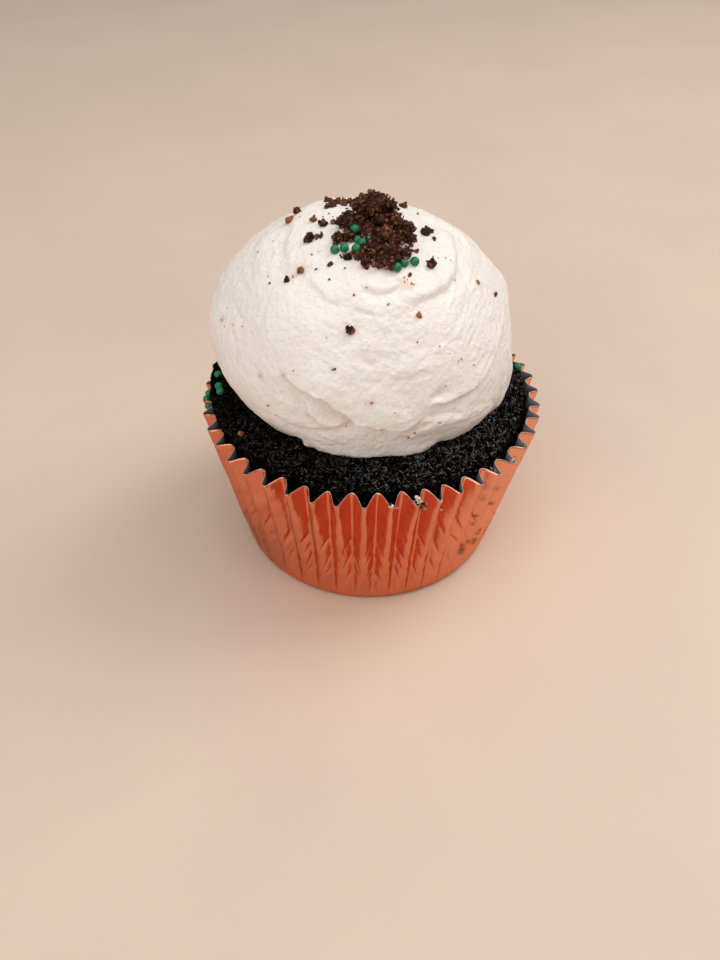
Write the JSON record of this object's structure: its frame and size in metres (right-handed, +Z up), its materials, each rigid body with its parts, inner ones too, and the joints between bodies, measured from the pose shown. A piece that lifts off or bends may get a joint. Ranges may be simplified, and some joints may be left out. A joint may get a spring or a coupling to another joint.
{
  "type": "cupcake",
  "caption": "Frosted chocolate cupcake in a fluted foil baking cup, with a tall rounded mound of icing topped by a heap of cake crumbs and a few round sugar sprinkles.",
  "frame": {"origin": "centre of the baking cup's flat base, on the surface that it stands on", "axes": "+Z up through the mound of icing; +Y towards the back, so the shown front faces -Y; +X to the right"},
  "size_m": [0.07, 0.07, 0.0783],
  "materials": {
    "foil": "satin copper-coloured foil",
    "chocolate_cake": "moist, nearly black open crumb",
    "buttercream": "soft satin, spread with a palette knife",
    "cake_crumbs": "matte brown crumbs",
    "sprinkles": "green sugar glaze"
  },
  "bodies": {
    "root": {"baking_case": "foil", "cake": "chocolate_cake", "frosting": "buttercream", "crumb_heap": "cake_crumbs"}
  },
  "joints": []
}
